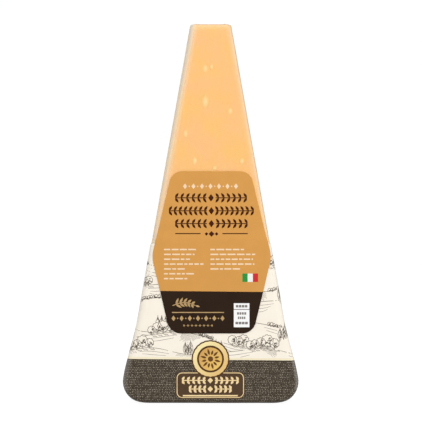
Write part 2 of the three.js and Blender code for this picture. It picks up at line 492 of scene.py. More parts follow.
# ======== the cheese and its film ========
# Cells in half a flat front, an edge and half a side of each skin
CHEESE_CUTS = (16, 5, 9)
FILM_CUTS = (20, 10, 10)
WRAP_CUTS = (36, 8, 12)
TOP_FOLD_CUTS = 30
# Rows of cells up to the flare's top, to the wrap's edge for the film, to the rounded end, round it
CHEESE_ROWS = (11, 89, 8)
FILM_ROWS = (7, 9, 109, 10)
WRAP_ROWS = (7, 59)  # up to the band's edge and over the pale line
ON_END = 0.3  # points as near the narrow end's height as this belong to it
AIR = 0.12  # between the film and the cheese, at least
CHEESE_FACE = -(SKIN + AIR + CHEESE_WAVE[0])
FILM_HAZE, SEAM_HAZE, CREASE_AND_PAINTED_LIGHT_HAZE = 0.03, 0.06, 0.53  # the last is added along the edges and the narrow end, for creases and as painted highlight and shade
EDGE_CREASE_AND_PAINTED_LIGHT = 0.4, 3.5, 1.0  # half its widths where full and in all, and its strength; the milk it adds is partly painted highlight and shade
RIGHT_CREASE_AND_PAINTED_LIGHT = 0.0, QUARTER / 2, 0.46  # and those of the front's right edge, weaker as less highlight and shade is painted there
TOP_CREASE_AND_PAINTED_LIGHT = 0.36  # how milky the narrow end is, where an edge's middle is 1: its folds, and a painted highlight on its rounded upper edge
GATHER, GATHER_REACH = 0.12, 16.0  # the height of the film's gathers and how far down they go
GATHER_TURN, GATHER_SWAY, GATHER_RISE = 1.9, 1.3, 0.21
FOLD_HEIGHT, FOLD_WIDTH = 0.14, 0.6  # of the folds over the narrow end


def evenly(low, high, count):
    """As many heights, evenly spaced above low, the last of them high."""
    return np.linspace(low, high, count + 1)[1:]


def foot_heights(inset, cuts=12):
    return FOOT_CORNER - (FOOT_CORNER - inset) * np.cos(np.linspace(0, pi / 2 + LEAN, cuts + 1))


def top_heights(inset, cuts):
    return HEIGHT - TOP_EDGE + TOP_EDGE * np.sin(np.linspace(0, pi / 2, cuts + 1)) - inset


def make_cheese():
    """The wedge inside the film: its faces have the fine pits of a clean cut."""
    inset = SKIN + AIR
    flare, upper, top = CHEESE_ROWS
    heights = np.concatenate([
        foot_heights(inset), evenly(FLARE_FULL, FLARE_TOP, flare),
        evenly(FLARE_TOP, HEIGHT - TOP_EDGE - AIR, upper)[:-1], top_heights(AIR, top)])
    stations, z = ring_stations(heights, inset, CHEESE_CUTS)
    still = surface(stations, z, -inset)
    pits = np.maximum(ripples(still, *CHEESE_PITS), 0) + ripples(still, *CHEESE_WAVE)
    points, faces, _ = skin_over(surface(stations, z, CHEESE_FACE - pits), (1, 12))
    settle(new_object("cheese", points, faces, [cheese_finish()]), "cheese_in_film", "cheese_wedge")


def on_film(s, z, lift):
    """A point on the clear film, which is gathered a little towards the narrow end."""
    still = surface(s, z, -SKIN)
    gather = GATHER * np.exp(-(HEIGHT - z) / GATHER_REACH)
    folds = np.abs(np.sin(GATHER_TURN * s + GATHER_SWAY * np.sin(GATHER_RISE * z)))
    folds = folds * (0.5 + ripples(still, *FOLD_WAVE))
    return surface(s, z, lift - SKIN + ripples(still, *FILM_WAVE) + gather * folds)


def creasing_and_painted_light_at(s, z):
    """How milky the film is, from creases and from painted highlight and shade: up to 1 along the middle
    of a rounded edge, and less on the right.
    """
    flat_x, flat_y = flats(z, SKIN)
    side = flat_x + QUARTER + flat_y
    out = np.abs(s)
    from_middle = np.abs(np.where(out <= side, out, 2 * side - out) - flat_x - QUARTER / 2)
    on_right = (s > 0) & (out <= side)
    core, reach, strength = (np.where(on_right, *pair) for pair in zip(RIGHT_CREASE_AND_PAINTED_LIGHT, EDGE_CREASE_AND_PAINTED_LIGHT))
    upright = strength * np.clip((reach - from_middle) / (reach - core), 0, 1)
    top = np.clip((z - (HEIGHT - TOP_EDGE)) / TOP_EDGE, 0, 1)
    return np.maximum((1 + ripples(surface(s, z), *CREASE_AND_PAINTED_LIGHT_WAVE)) * upright, TOP_CREASE_AND_PAINTED_LIGHT * top)


def top_folds(points):
    """Height of the folds where the film is tucked over the narrow end, like an envelope's."""
    x, y = np.abs(points[:, 0]), np.abs(points[:, 1])
    wide, deep = flats(HEIGHT - TOP_EDGE, SKIN)
    corner = (deep - y - wide + x) / sqrt(2)
    return FOLD_HEIGHT * np.exp(-(np.where(y > deep - wide, corner, x) / FOLD_WIDTH) ** 2)


def make_film():
    """The bag drawn tight over the cheese, and folded over at its narrow end."""
    flare, hidden, upper, top = FILM_ROWS
    heights = np.concatenate([
        foot_heights(SKIN), evenly(FLARE_FULL, FLARE_TOP, flare),
        evenly(FLARE_TOP, WRAP_HEIGHT, hidden),
        evenly(WRAP_HEIGHT, HEIGHT - TOP_EDGE, upper)[:-1], top_heights(0.0, top)])
    stations, z = ring_stations(heights, SKIN, FILM_CUTS)
    points, faces, _ = skin_over(on_film(stations, z, 0.0), (1, TOP_FOLD_CUTS))
    on_end = np.abs(points[:, 2] - HEIGHT) < ON_END
    points[on_end, 2] += top_folds(points[on_end])
    film = new_object("clear_film", points, faces, [film_finish("clear_film", FILM_HAZE, CREASE_AND_PAINTED_LIGHT_HAZE)])
    # The milky edge tint: partly creases, partly painted highlight and painted shade
    crease_and_painted_light = np.zeros(len(points))
    crease_and_painted_light[:stations.size] = creasing_and_painted_light_at(stations, z).ravel()
    crease_and_painted_light[on_end] = TOP_CREASE_AND_PAINTED_LIGHT
    film.data.attributes.new("crease_and_painted_light", "FLOAT", "POINT").data.foreach_set("value", crease_and_painted_light)
    settle(film, "cheese_in_film", "cheese_wedge")


# Those the photograph shows: the middle's column and row, then width and height in mm
CRYSTALS = ((205.4, 68.5, 2.4, 4.0), (211.5, 66.5, 1.6, 2.8), (205.4, 101.5, 3.4, 6.2),
            (230.3, 111.0, 2.4, 3.4), (185.7, 133.6, 2.2, 4.0), (195.0, 160.8, 2.2, 4.0),
            (242.0, 161.2, 2.2, 3.2), (215.0, 167.8, 2.0, 2.2))
MORE_CRYSTALS = 46  # on the sides and the back
MORE_WIDTHS, MORE_HEIGHTS = (1.2, 2.6), (1.9, 4.8)
MORE_ABOVE, MORE_BELOW = 4.0, 6.0  # how far they keep from the wrap and from the narrow end
CRYSTAL_SINK, CRYSTAL_RISE = 0.25, 0.05  # how deep one goes in, and how far it stands out
CRYSTAL_SIDES, CRYSTAL_LEVELS = 14, 5


def make_crystals(seed=23):
    """Small pale lenses set in the cheese's faces."""
    draw = random.Random(seed)
    places = [(*at_pixel(column, row), *size) for column, row, *size in CRYSTALS]
    for _ in range(MORE_CRYSTALS):
        z = draw.uniform(WRAP_HEIGHT + MORE_ABOVE, HEIGHT - MORE_BELOW)
        flat_x, flat_y = flats(z, SKIN)
        s = draw.uniform(flat_x + QUARTER + 1, 2 * (flat_x + QUARTER + flat_y)) * draw.choice((-1, 1))
        places.append((s, z, draw.uniform(*MORE_WIDTHS), draw.uniform(*MORE_HEIGHTS)))
    level = np.arange(CRYSTAL_LEVELS)[:, None] / CRYSTAL_LEVELS
    angle = 2 * pi * np.arange(CRYSTAL_SIDES) / CRYSTAL_SIDES
    reach, rise = np.cos(pi / 2 * level) / 2, np.sin(pi / 2 * level) ** 0.2
    lift = CHEESE_FACE - CRYSTAL_SINK + rise * (CRYSTAL_SINK + CRYSTAL_RISE)
    tip = CRYSTAL_LEVELS * CRYSTAL_SIDES
    last_ring = range(tip - CRYSTAL_SIDES, tip)
    lens = [tuple(reversed(range(CRYSTAL_SIDES))), *grid(CRYSTAL_LEVELS, CRYSTAL_SIDES, shut=True),
            *((i, i + 1 if i + 1 < tip else last_ring[0], tip) for i in last_ring)]
    points, faces = [], []
    for count, (s, z, width, height) in enumerate(places):
        rings = surface(s + reach * width * np.cos(angle), z + reach * height * np.sin(angle), lift)
        points += [*rings.reshape(-1, 3), surface(s, z, CHEESE_FACE + CRYSTAL_RISE)]
        faces += [[count * (tip + 1) + i for i in face] for face in lens]
    crystals = new_object("crystals", points, faces, [crystal_finish()])
    depth = np.tile(np.append(np.repeat(level, CRYSTAL_SIDES), 1.0), len(places))
    crystals.data.attributes.new("depth", "FLOAT", "POINT").data.foreach_set("value", depth)
    settle(crystals, "cheese_in_film")


# ======== the printed wrap and the label ========

def make_wrap():
    """A cup of film, printed with a charcoal band, a pale line over it and a cream field."""
    line_top = BAND_TOP + LINE_HEIGHT
    heights = np.concatenate([foot_heights(0.0), evenly(foot_join(0), BAND_TOP, WRAP_ROWS[0]),
                              [line_top], evenly(line_top, WRAP_HEIGHT, WRAP_ROWS[1])])
    stations, z = ring_stations(heights, 0.0, WRAP_CUTS)
    outside = on_wrap(stations, tilted(z, surface(stations, z)[..., 0], BAND_TOP, BAND_SLOPE), 0.0)
    inner = np.append(heights[heights > WRAP_WALL][::-1], WRAP_WALL)
    inside = surface(*ring_stations(inner, WRAP_WALL, WRAP_CUTS), -WRAP_WALL)
    points, faces, rows = skin_over(np.concatenate([outside, inside]))
    band_row = np.argmin(np.abs(heights - BAND_TOP))
    finishes = [print_finish(name) for name in ("band_charcoal", "band_line", "wrap_cream")]
    settle(new_object("wrap", points, faces, finishes, np.clip(rows - band_row + 1, 0, 2)),
           "printed_film", "printed_wrap")


def rounded_side(corner_x, cuts=10):
    """One side of the label as points (x, z) from its bottom up, its corners rounded."""
    inwards = -np.sign(corner_x[1])
    ends = [(corner_x[0] + inwards, LABEL_BOTTOM), (corner_x[2] + inwards, LABEL_TOP)]
    corners = zip(corner_x, (LABEL_BOTTOM, LABEL_WAIST, LABEL_TOP))
    return rounded([ends[0], *corners, ends[1]], LABEL_CORNERS, cuts)


LABEL_COLUMNS = 48
LABEL_ROW = 1.0  # the most height between two rows
LABEL_ROW_LEAST = 0.02


def make_label():
    """A sheet of paper, dark in its lower part, that comes down off the wrap's upper edge."""
    sides = rounded_side(LABEL_LEFT), rounded_side(LABEL_RIGHT)
    heights = np.unique(np.round(np.concatenate([
        *(side[:, 1] for side in sides), np.arange(LABEL_BOTTOM, LABEL_TOP, LABEL_ROW), [DARK_TOP],
        STEP_START + LABEL_EASE * np.arange(7) / 6]), 2))
    heights = heights[np.diff(heights, prepend=0) > LABEL_ROW_LEAST]
    left, right = (np.interp(heights, side[:, 1], side[:, 0])[:, None] for side in sides)
    x = left + (right - left) * (1 - np.cos(np.linspace(0, pi, LABEL_COLUMNS + 1))) / 2
    z = tilted(heights[:, None], x, DARK_TOP, DARK_SLOPE)
    outer, inner = on_label(x, z, 0.0), on_label(x, z, -LABEL_THICKNESS)
    points, faces, rows = skin_over(np.concatenate([inner[:, ::-1], outer], axis=1))
    dark = rows < np.argmin(np.abs(heights - DARK_TOP))
    upper_end = np.count_nonzero(rows < 0) // 2
    dark[-upper_end:] = False
    finishes = [print_finish("label_orange"), print_finish("label_dark")]
    settle(new_object("label", points, faces, finishes, dark), "label_paper", "front_label")


# ======== print ========
INK_DEPTH = 0.05  # how thick a printed shape is, most of it sunk in the film or paper
INK_RISE = 0.02  # how far it stands out


class Ink:
    """Shapes of one colour, laid on a face of the pack as thin closed plates."""

    def __init__(self, lay, level=0):
        self.lay = lay
        self.rise = INK_RISE * (1 + level)
        self.points, self.faces = [], []

    def add(self, points, faces):
        """Points (across, up) in mm, and faces that go round them anticlockwise."""
        first = len(self.points)
        self.points += [tuple(point) for point in points]
        self.faces += [tuple(first + i for i in face) for face in faces]

    def polygon(self, points):
        self.add(points, [range(len(points))])

    def patch(self, x, z, width, height, step=1.2, line_step=None):
        """An upright rectangle with its lower left corner at (x, z)."""
        columns = max(1, ceil(width / step)) + 1
        lines = max(1, ceil(height / (line_step or step))) + 1
        self.add([(side, up) for up in np.linspace(z, z + height, lines)
                  for side in np.linspace(x, x + width, columns)], grid(lines, columns))

    def ring(self, x, z, inner, outer, sides):
        """A ring, or a disc if inner is 0. The outer radius may be one number for each side."""
        turn = 2 * pi * np.arange(sides) / sides
        rim = lambda radius: [*zip(x + radius * np.cos(turn), z + radius * np.sin(turn))]
        if inner:
            self.add(rim(outer) + rim(inner), grid(2, sides, shut=True))
        else:
            self.add(rim(outer) + [(x, z)], [(i, (i + 1) % sides, sides) for i in range(sides)])

    def lozenge(self, x, z, width, height):
        w, h = width / 2, height / 2
        self.polygon([(x, z - h), (x + w, z), (x, z + h), (x - w, z)])

    def leaf(self, x, z, length, width, turn, cuts=5):
        """A pointed leaf that grows from (x, z) at an angle."""
        way = np.linspace(0, 1, cuts + 1)
        half = width / 2 * np.sin(pi * way ** 0.85)
        u = length * np.append(way, way[-2:0:-1])
        v = np.append(-half, half[-2:0:-1])
        c, d = cos(turn), sin(turn)
        self.polygon(np.stack([x + c * u - d * v, z + d * u + c * v], axis=1))

    def stroke(self, points, width, step=1.0, taper=0.35):
        """A pen line through points, thinner towards its ends by taper."""
        line = np.array(points, float)
        way = np.append(0, np.cumsum(np.linalg.norm(np.diff(line, axis=0), axis=1)))
        cuts = max(len(line) - 1, ceil(way[-1] / step))
        marks = np.unique(np.append(way, np.linspace(0, way[-1], cuts + 1)).round(4))
        path = np.stack([np.interp(marks, way, row) for row in line.T], axis=1)
        run = np.gradient(path, axis=0)
        out = np.stack([-run[:, 1], run[:, 0]], axis=1) / np.linalg.norm(run, axis=1)[:, None]
        reach = out * width / 2 * (1 - taper * (2 * marks / way[-1] - 1) ** 2)[:, None]
        self.add(np.vstack([path - reach, path + reach]), grid(2, len(path)))

    def rule(self, x0, x1, z, width):
        self.stroke([(x0, z), (x1, z)], width, taper=0)

    def piece(self, name, finish=None, slot=None):
        """Makes the plates: an outer face, an inner face and a rim along every free edge."""
        s, z = np.array(self.points).T
        points = np.vstack([self.lay(s, z, self.rise), self.lay(s, z, self.rise - INK_DEPTH)])
        edges = {(a, b) for face in self.faces for a, b in zip(face, face[1:] + face[:1])}
        faces = self.faces + [tuple(len(s) + i for i in reversed(face)) for face in self.faces]
        faces += [(b, a, len(s) + a, len(s) + b) for a, b in sorted(edges) if (b, a) not in edges]
        slot = slot or ("label_paper" if self.lay is on_label else "printed_film")
        settle(new_object(name, points, faces, [finish or print_finish(name)], smooth=False), slot)


# ---- the seams down the back ----
SEAM_WIDTH, SEAM_BOTTOM = 7.0, 0.9
SEAM_RIB, SEAM_PITCH = 0.06, 1.2  # they are crimped into ribs of this height
SEAM_LEVEL = 3  # how many ink layers high they lie
SEAM_GAP = 0.1


def rib_at(z):
    return SEAM_RIB * (0.5 + 0.5 * np.cos(2 * pi * z / SEAM_PITCH))


def on_print(s, z, lift):
    """A point of the wrap's print, which goes on over the seam down its back."""
    from_back = way_to_back(z) - np.abs(s)
    over = 1 - smoothstep(from_back, SEAM_WIDTH / 2 - SEAM_GAP, SEAM_WIDTH / 2)
    return on_wrap(s, z, lift + over * (INK_RISE * (1 + SEAM_LEVEL) + rib_at(z)))


def make_seams():
    """The crimped seams, where the film and the printed wrap close on themselves."""
    film = (film_finish("film_seam", SEAM_HAZE), "cheese_in_film")
    line = BAND_TOP + LINE_HEIGHT
    for name, lay, low, high, looks in (
            ("film_seam", on_film, WRAP_HEIGHT + 0.5, HEIGHT - TOP_EDGE - 0.5, film),
            ("wrap_seam_cream", on_wrap, line, WRAP_HEIGHT - SEAM_GAP, ()),
            ("wrap_seam_line", on_wrap, BAND_TOP, line, ()),
            ("wrap_seam_charcoal", on_wrap, SEAM_BOTTOM, BAND_TOP, ())):
        seam = Ink(lambda right, z, lift: lay(way_to_back(z) + right, z, lift + rib_at(z)), SEAM_LEVEL)
        seam.patch(-SEAM_WIDTH / 2, low, SEAM_WIDTH, high - low, SEAM_WIDTH / 4, SEAM_PITCH / 6)
        seam.piece(name, *looks)


# ---- the label's print, with places in columns and rows of the photograph ----
SMALL_ROW = (185.0, 236.0, 186.3)  # left, right and row
HEADLINES = ((175.2, 246.8, 197.8), (168.9, 253.8, 210.8), (175.2, 247.6, 223.6))
RULES = ((175.2, 200.6, 233.6), (222.4, 247.8, 233.6))
RULE_MIDDLE = (211.5, 233.9)
RULE_WIDTH, GOLD_WIDTH, DIVIDER_WIDTH = 0.42, 0.4, 0.32
RULE_LOZENGES = ((-2.1, 1.5), (0, 2.4), (2.1, 1.5))  # shift and size in mm
SMALL_PRINT_ROW, SMALL_PRINT_PITCH = 249.5, 4.85
SMALL_PRINT = ((164.0, (196, 194.6, 190, 203.5, 185.4, 195.3, 187.3)),  # left, then right ends
               (210.4, (244, 255.2, 253, 254.4, 240)))
BAR_HEIGHT, BAR_GAP, BAR_LENGTHS = 0.6, 0.55, (1.3, 3.4)
FLAG_BOX = (242.4, 281.9, 258.0, 273.5)  # left, low, right and high
GOLD_RULE = (172.0, 224.0, 312.4)
GOLD_ROWS = ((173.5, 222.5, 318.3, 1.0), (184.0, 212.0, 325.5, 0.45))  # and a size
SPRIG, SPRIG_LENGTH, SPRIG_BEND = (172.6, 303.2), 9.5565, 1.3
INFO_BOX = (233.8, 327.2, 249.4, 303.2)
INFO_DIVIDER = 309.4
INFO_ROWS = ((235.6, 247.6, 306.2), (236.8, 246.4, 313.4), (237.6, 245.6, 317.8), (235.2, 248.0, 323.0))
INFO_BARS = 4  # in each of these rows
INFO_GAP = 0.24


# A frieze's pitch, the angle of its leaves, and its lozenge's and stem's widths
FRIEZE_PITCH, FRIEZE_TURN, FRIEZE_LOZENGE, FRIEZE_STEM = 2.35, 0.95, 2.3, 0.4


def leaf_frieze(ink, left, right, row, height=3.9):
    """Pairs of leaves that grow from both ends of a stem to a lozenge in its middle."""
    x0, x1, z = across(left, right, row)
    middle, half = (x0 + x1) / 2, (x1 - x0) / 2
    pairs = round(half / FRIEZE_PITCH)
    ink.lozenge(middle, z, FRIEZE_LOZENGE, height * 0.8)
    for side in (-1, 1):
        start = middle + side * half
        ink.rule(start, middle + side * 1.9, z, FRIEZE_STEM)
        for i in range(pairs):
            for up in (-1, 1):
                turn = up * FRIEZE_TURN if side < 0 else pi - up * FRIEZE_TURN
                x = start - side * half / (pairs + 0.4) * i
                ink.leaf(x, z + up * 0.1, height * 0.6, 1.05, turn)


def chain(ink, left, right, row, size=1.0, pitch=1.75):
    """A row of lozenges with a dot between each two."""
    x0, x1, z = across(left, right, row)
    count = 2 * round((x1 - x0) / (2 * pitch * size))
    for i, x in enumerate(np.linspace(x0, x1, count + 1)):
        width, height = (0.7, 0.7) if i % 2 else (1.7, 2.3)
        ink.lozenge(x, z, width * size, height * size)


def broken_lines(ink, seed=5):
    """Level bars with gaps, where the label has its small print."""
    draw = random.Random(seed)
    for column, ends in SMALL_PRINT:
        for line, end in enumerate(ends):
            x, right, z = across(column, end, SMALL_PRINT_ROW + SMALL_PRINT_PITCH * line)
            while x < right - 0.5:
                length = min(draw.uniform(*BAR_LENGTHS), right - x)
                ink.patch(x, z - BAR_HEIGHT / 2, length, BAR_HEIGHT)
                x += length + BAR_GAP


def sprig(ink, x, z, length):
    """A lying twig with leaves on both sides."""
    way = lambda t: (x + length * t, z + SPRIG_BEND * sin(pi * t) - 1.0)
    ink.stroke([way(t) for t in np.linspace(0, 1, 9)], 0.4, taper=0.2)
    for i in range(5):
        t = 0.14 + 0.17 * i
        for up in (-1, 1):
            ink.leaf(*way(t), 2.9 - 0.25 * i, 0.95, 0.35 * cos(pi * t) + up * 0.85)
    ink.leaf(*way(1), 1.8, 0.8, -0.25)


def make_label_print():
    """Leaves, lozenges and bars of the real label's colours and sizes, and nothing to read."""
    brown, pale, gold, white, grey = (Ink(on_label, level) for level in (0, 0, 0, 0, 1))
    for place in HEADLINES:
        leaf_frieze(brown, *place)
    for place in RULES:
        brown.rule(*across(*place), RULE_WIDTH)
    x, z = at_pixel(*RULE_MIDDLE)
    for shift, size in RULE_LOZENGES:
        brown.lozenge(x + shift, z, size, size)
    brown.piece("label_frieze")

    chain(pale, *SMALL_ROW)
    broken_lines(pale)
    pale.piece("label_bars")

    (x0, z0), (x1, z1) = at_pixel(*FLAG_BOX[:2]), at_pixel(*FLAG_BOX[2:])
    for i, name in enumerate(("flag_green", "flag_pale", "flag_red")):
        field = Ink(on_label)
        field.patch(x0 + (x1 - x0) / 3 * i, z0, (x1 - x0) / 3, z1 - z0)
        field.piece(name)

    gold.rule(*across(*GOLD_RULE), GOLD_WIDTH)
    for place in GOLD_ROWS:
        chain(gold, *place)
    sprig(gold, *at_pixel(*SPRIG), SPRIG_LENGTH)
    gold.piece("label_gold")

    (x0, z0), (x1, z1) = at_pixel(*INFO_BOX[:2]), at_pixel(*INFO_BOX[2:])
    white.patch(x0, z0, x1 - x0, z1 - z0)
    white.piece("info_box")
    grey.rule(x0, x1, at_pixel(0, INFO_DIVIDER)[1], DIVIDER_WIDTH)
    for place in INFO_ROWS:
        left, right, z = across(*place)
        pitch = (right - left) / INFO_BARS
        for i in range(INFO_BARS):
            grey.patch(left + pitch * i + INFO_GAP / 2, z - 0.5, pitch - INFO_GAP, 1.0)
    grey.piece("info_bars")


# ---- the wrap's print ----
ART_INK = 0.2  # width of an engraved line
ART_MARGIN = 0.25  # left bare along the wrap's edge and the band
ART_FINEST = 0.35  # how finely a line is tested for what hides it
STRAIGHT = 9  # a step too long to cut a line into
# Height, roll, length of a wave and shift of each hill, from the farthest
RIDGES = ((57.5, 1.6, 47.0, 0.4), (49.0, 1.9, 61.0, 2.6), (41.5, 2.0, 53.0, 4.4),
          (33.5, 2.8, 58.0, 1.2), (27.0, 2.6, 71.0, 3.3), (21.6, 1.3, 44.0, 5.2))
# How many grow together, how high they are, and half their width as a share of that
PLANTS = {"tree": ((2, 5), (3.4, 5.8), 0.38), "poplar": ((3, 6), (4.4, 7.0), 0.15),
          "hedge": ((5, 9), (1.1, 1.6), 0.5)}


def band_height(s):
    """The height of the band's upper edge at a way round the pack."""
    return BAND_TOP + BAND_SLOPE * np.clip(s, -36, 36) + LINE_HEIGHT


class Engraving:
    """Pen-drawn hills and plants that run all round the wrap. Nearer ones hide farther ones."""

    def __init__(self, seed=11):
        self.draw = random.Random(seed)
        self.half_way = way_to_back(BAND_TOP)
        self.pen = Ink(on_print)
        self.crowns = [np.zeros((0, 4))] * (len(RIDGES) + 1)  # s, z, half width and half height

    def ridge(self, s, level=None):
        height, roll, length, shift = RIDGES[self.level if level is None else level]
        turn = 2 * pi * s / length + shift
        return height + roll * (np.sin(turn) + 0.3 * np.sin(1.7 * turn + shift))

    def line(self, s, z, weight=1.0, step=0.4):
        """Draws the parts of a line that show, with a corner about every step."""
        line = np.array([s, z], float)
        corners = line.shape[1]
        length = np.linalg.norm(np.diff(line), axis=0).sum()
        marks = max(corners, ceil(length / ART_FINEST))
        s, z = (np.interp(np.linspace(0, corners - 1, marks), np.arange(corners), row) for row in line)
        seen = (z > band_height(s) + ART_MARGIN) & (z < WRAP_HEIGHT - ART_MARGIN)
        seen &= np.abs(s) < way_to_back(z) - SEAM_WIDTH / 2 + ART_MARGIN
        for nearer in range(self.level + 1, len(RIDGES)):
            seen &= z > self.ridge(s, nearer)
        crowns = np.concatenate(self.crowns[self.crowned_from:])
        away = (np.stack([s, z], axis=1)[:, None] - crowns[:, :2]) / crowns[:, 2:]
        seen &= ((away ** 2).sum(axis=2) >= 1).all(axis=1)
        for run in np.split(np.arange(marks), np.flatnonzero(~seen)):
            run = run[seen[run]]
            if len(run) > 1:
                corners = max(2, ceil(length * len(run) / marks / step) + 1)
                run = run[np.unique(np.linspace(0, len(run) - 1, corners).round().astype(int))]
                self.pen.stroke(np.stack([s[run], z[run]], axis=1), ART_INK * weight, WRAP_HEIGHT)

    def arc(self, s, z, wide, tall, start, end, cuts, weight=1.0):
        """Part of an oval between two angles."""
        turn = np.linspace(start, end, cuts + 1)
        self.line(s + wide * np.cos(turn), z + tall * np.sin(turn), weight)

    def plan(self):
        """Chooses the plants on a hill: each is its kind, s, height and half-width."""
        plants = []
        s = -self.half_way + self.draw.uniform(2, 6)
        while s < self.half_way - 5:
            kind = self.draw.choice(("tree", "tree", "poplar", "hedge"))
            numbers, heights, share = PLANTS[kind]
            for _ in range(self.draw.randint(*numbers)):
                height = self.draw.uniform(*heights)
                plants.append((kind, s, height, height * share))
                s += height * share * self.draw.uniform(1.2, 1.7)
            s += self.draw.uniform(5.0, 13.0)
        self.crowns[self.level] = np.array([(s, self.ridge(s) + height * 0.6, half * 0.95, height * 0.38)
                                            for _, s, height, half in plants])
        return plants

    def crest(self):
        """The hill's outline, with short breaks."""
        s = -self.half_way
        while s < self.half_way:
            length = self.draw.uniform(9, 26)
            way = np.arange(s, s + length, 0.8)
            self.line(way, self.ridge(way), 1.0, 1.2)
            s += length + self.draw.uniform(0.2, 1.4)

    def furrows(self):
        """Curved lines that follow the crest further down, and patches of slanting strokes."""
        s = -self.half_way + self.draw.uniform(0, 6)
        while s < self.half_way:
            length = self.draw.uniform(9, 18)
            for i in range(self.draw.randint(2, 4)):
                way = np.linspace(s + 0.9 * i, s + length - 1.3 * i, 14)
                drop = (1.2 + 1.1 * i) * (1 + 0.25 * np.sin(np.linspace(0, pi, 14)))
                self.line(way, self.ridge(way) - drop, 0.7, 1.5)
            s += length + self.draw.uniform(2, 5)
            count = self.draw.randint(9, 18)
            lean = self.draw.choice((-1, 1)) * self.draw.uniform(0.6, 1.2)
            for i in range(count):
                start, top = s + i * 0.5, self.ridge(s + i * 0.5) - 0.3
                reach = self.draw.uniform(1.6, 3.4) * sin(pi * (i + 0.7) / (count + 0.4)) + 0.5
                self.line((start, start + lean * reach), (top, top - reach), 0.75, STRAIGHT)
            s += count * 0.5 + self.draw.uniform(4, 11)

    def curls(self, s, z, wide, tall, count):
        """Small arcs that shade a crown, closer together on its right and below."""
        for _ in range(count):
            turn, reach = self.draw.uniform(-2.4, 1.1), self.draw.uniform(0.05, 0.9) ** 0.7
            size = self.draw.uniform(0.22, 0.4)
            self.arc(s + wide * reach * cos(turn), z + tall * reach * sin(turn),
                     size, size * 0.8, 3.3, 6.1, 2, 1.5)

    def tree(self, s, height, half):
        """A scalloped and shaded crown, a short trunk and its shade on the ground."""
        foot = self.ridge(s) - 0.4
        middle, tall = foot + height * 0.62, height * 0.38
        for side in (-0.17, 0.17):
            self.line((s + side, s + side * 0.7), (foot, middle - tall * 0.8), 1.0, STRAIGHT)
        for turn in 2 * pi * np.arange(9) / 9 + 0.3:
            self.arc(s + half * 0.8 * cos(turn), middle + tall * 0.8 * sin(turn),
                     half * 0.4, half * 0.4, turn - 1.25, turn + 1.25, 3, 1.1)
        self.curls(s, middle, half * 0.9, tall * 0.9, int(9 * half))
        for shift in (0, 0.6, 1.2):
            self.line((s + 0.3 + shift, s + 1.1 + shift), (foot + 0.05, foot - 0.55), 1.2, STRAIGHT)

    def poplar(self, s, height, half):
        """A tall narrow crown, filled with short upright strokes."""
        foot = self.ridge(s) - 0.3
        wide = lambda t: half * np.sin(pi * np.minimum(1.0, t * 1.1 + 0.08))
        t = np.linspace(0, 1, 7)
        for side in (-1, 1):
            self.line(s + side * wide(t), foot + height * (0.1 + 0.9 * t), 1.0, 0.7)
        self.line((s, s), (foot, foot + height * 0.15), 1.3)
        for _ in range(int(5.5 * height)):
            t, out = self.draw.uniform(0.03, 0.85), self.draw.uniform(-0.5, 0.95)
            low = foot + height * (0.1 + 0.9 * t)
            self.line((s + out * wide(t), s + out * wide(t) * 0.8), (low, low + 0.7), 1.3, STRAIGHT)

    def hedge(self, s, height, half):
        """One bush of a low hedge."""
        foot = self.ridge(s) - 0.1
        self.arc(s, foot, half, height, 3.1, 0.05, 6)
        self.curls(s, foot + height * 0.4, half * 0.7, height * 0.4, 4)

    def make(self):
        """Draws it all. A hill is hidden by its own plants too, a plant only by nearer ones."""
        levels, chosen = range(len(RIDGES)), []
        for self.level in levels:
            chosen.append(self.plan())
        fields, plants = self.pen, Ink(on_print)
        for self.level in levels:
            self.crowned_from = self.level
            self.crest()
            self.furrows()
        self.pen = plants
        for self.level in levels:
            self.crowned_from = self.level + 1
            for kind, *plant in chosen[self.level]:
                getattr(self, kind)(*plant)
        ink = print_finish("wrap_engraving")
        fields.piece("wrap_hills", ink)
        plants.piece("wrap_trees", ink)


# ---- the band's print ----
FIGURE_ROWS, FIGURE_PITCH = 6, 3.0  # the rows of figures, and from one figure to the next
BAND_CLEAR = 1.0  # no dots lower than this
DOT_PITCH, DOT_SHIFT = 0.7, 0.08
DOT_SIZES = 0.1, 0.4  # across, where the ground is plainest and where it is fullest
STREAK, STREAK_WIDTH = 2.8, 0.7  # the ground's uneven threads of fuller dots
FIGURE_DOT, FIGURE_REACH = 0.38, 0.3  # the size of a figure's dots, and how near its line they are
# A lozenge, a chevron, a zigzag and a cross
FIGURES = (((-1.2, 0), (0, -1.2), (1.2, 0), (0, 1.2), (-1.2, 0)),
           ((-1.2, -0.8), (0, 0.7), (1.2, -0.8)),
           ((-1.1, -1.0), (-1.1, 1.0), (0, -0.3), (1.1, 1.0), (1.1, -1.0)),
           ((-1.0, -1.0), (1.0, 1.0), (0, 0), (-1.0, 1.0), (1.0, -1.0)))


def threads(s, z):
    """How full the ground is, from -1 to 1, in upright and level streaks."""
    places = np.stack(np.broadcast_arrays(s, 0.0, z), axis=-1)
    return np.maximum(ripples(places / (STREAK_WIDTH, 1, STREAK), 1.0, 1.0, 9),
                      ripples(places / (STREAK, 1, STREAK_WIDTH), 1.0, 1.0, 10))


